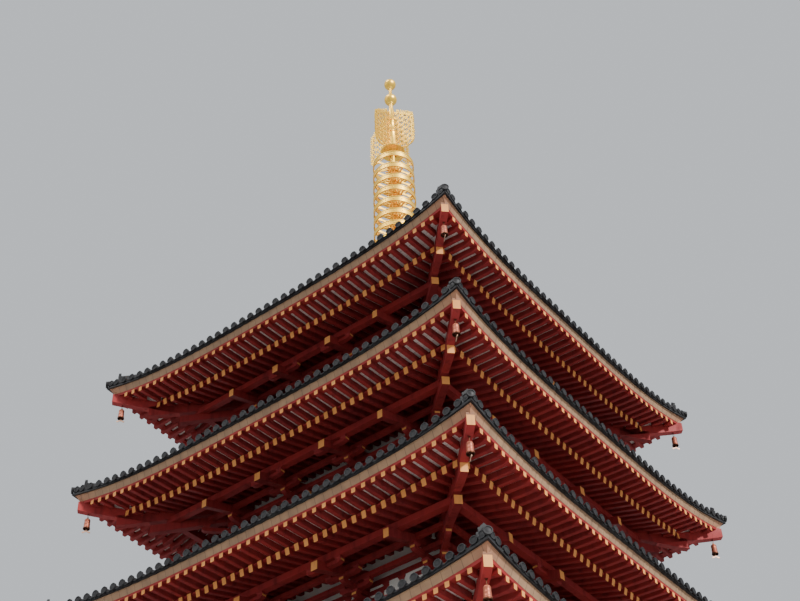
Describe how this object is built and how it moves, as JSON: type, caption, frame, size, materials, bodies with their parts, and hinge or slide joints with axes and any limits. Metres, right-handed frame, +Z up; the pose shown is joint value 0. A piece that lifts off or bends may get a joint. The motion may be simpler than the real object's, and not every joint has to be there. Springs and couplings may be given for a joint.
{
  "type": "five-storey pagoda",
  "caption": "Square multi-storey timber pagoda with tiled roofs, bracketed eaves, hung wind bells and a tall ringed finial on a stone podium.",
  "frame": {"origin": "centre of the podium's foot, at ground level", "axes": "+Z up, -Y towards the front steps, +X to the right seen from the front"},
  "size_m": [15.0924, 15.0924, 36.234],
  "materials": {
    "vermilion": "red painted timber, satin",
    "plaster": "white lime plaster, matt",
    "tile": "dark grey fired tile, half matt",
    "stone": "dressed granite",
    "timber": "bare planed timber",
    "gilt": "gilded metal, polished",
    "bronze": "browned bronze"
  },
  "bodies": {
    "tower": {"podium": "stone", "right_steps": "stone", "right_door_a": "vermilion", "right_door_b": "vermilion", "back_steps": "stone", "back_door_a": "vermilion", "back_door_b": "vermilion", "left_steps": "stone", "left_door_a": "vermilion", "left_door_b": "vermilion", "front_steps": "stone", "front_door_a": "vermilion", "front_door_b": "vermilion", "heart_pillar": "timber", "storey_1_frame": "vermilion", "storey_1_walls": "plaster", "storey_1_brackets": "vermilion", "storey_1_eaves": "vermilion", "storey_1_roof": "tile", "storey_2_floor": "timber", "storey_2_railing": "vermilion", "storey_2_frame": "vermilion", "storey_2_walls": "plaster", "storey_2_brackets": "vermilion", "storey_2_eaves": "vermilion", "storey_2_roof": "tile", "storey_3_floor": "timber", "storey_3_railing": "vermilion", "storey_3_frame": "vermilion", "storey_3_walls": "plaster", "storey_3_brackets": "vermilion", "storey_3_eaves": "vermilion", "storey_3_roof": "tile", "storey_4_floor": "timber", "storey_4_railing": "vermilion", "storey_4_frame": "vermilion", "storey_4_walls": "plaster", "storey_4_brackets": "vermilion", "storey_4_eaves": "vermilion", "storey_4_roof": "tile", "storey_5_floor": "timber", "storey_5_railing": "vermilion", "storey_5_frame": "vermilion", "storey_5_walls": "plaster", "storey_5_brackets": "vermilion", "storey_5_eaves": "vermilion", "storey_5_roof": "tile", "finial_box": "gilt", "finial_bowl": "gilt", "finial_rings": "gilt", "finial_flames": "gilt", "finial_jewels": "gilt"},
    "bell_4_front_right": {"bell_4_front_right": "bronze"},
    "bell_4_back_right": {"bell_4_back_right": "bronze"},
    "bell_4_back_left": {"bell_4_back_left": "bronze"},
    "bell_4_front_left": {"bell_4_front_left": "bronze"},
    "bell_5_front_right": {"bell_5_front_right": "bronze"},
    "bell_5_back_right": {"bell_5_back_right": "bronze"},
    "bell_5_back_left": {"bell_5_back_left": "bronze"},
    "bell_5_front_left": {"bell_5_front_left": "bronze"}
  },
  "joints": [
    {"name": "bell_4_front_right_swing", "type": "hinge", "parent": "tower", "child": "bell_4_front_right", "pos_m": [6.063, -6.063, 16.97], "axis": [0.7071, 0.7071, 0], "range_deg": [-30, 30]},
    {"name": "bell_4_back_right_swing", "type": "hinge", "parent": "tower", "child": "bell_4_back_right", "pos_m": [6.063, 6.063, 16.97], "axis": [-0.7071, 0.7071, 0], "range_deg": [-30, 30]},
    {"name": "bell_4_back_left_swing", "type": "hinge", "parent": "tower", "child": "bell_4_back_left", "pos_m": [-6.063, 6.063, 16.97], "axis": [-0.7071, -0.7071, 0], "range_deg": [-30, 30]},
    {"name": "bell_4_front_left_swing", "type": "hinge", "parent": "tower", "child": "bell_4_front_left", "pos_m": [-6.063, -6.063, 16.97], "axis": [0.7071, -0.7071, 0], "range_deg": [-30, 30]},
    {"name": "bell_5_front_right_swing", "type": "hinge", "parent": "tower", "child": "bell_5_front_right", "pos_m": [5.7, -5.7, 20.66], "axis": [0.7071, 0.7071, 0], "range_deg": [-30, 30]},
    {"name": "bell_5_back_right_swing", "type": "hinge", "parent": "tower", "child": "bell_5_back_right", "pos_m": [5.7, 5.7, 20.66], "axis": [-0.7071, 0.7071, 0], "range_deg": [-30, 30]},
    {"name": "bell_5_back_left_swing", "type": "hinge", "parent": "tower", "child": "bell_5_back_left", "pos_m": [-5.7, 5.7, 20.66], "axis": [-0.7071, -0.7071, 0], "range_deg": [-30, 30]},
    {"name": "bell_5_front_left_swing", "type": "hinge", "parent": "tower", "child": "bell_5_front_left", "pos_m": [-5.7, -5.7, 20.66], "axis": [0.7071, -0.7071, 0], "range_deg": [-30, 30]}
  ]
}
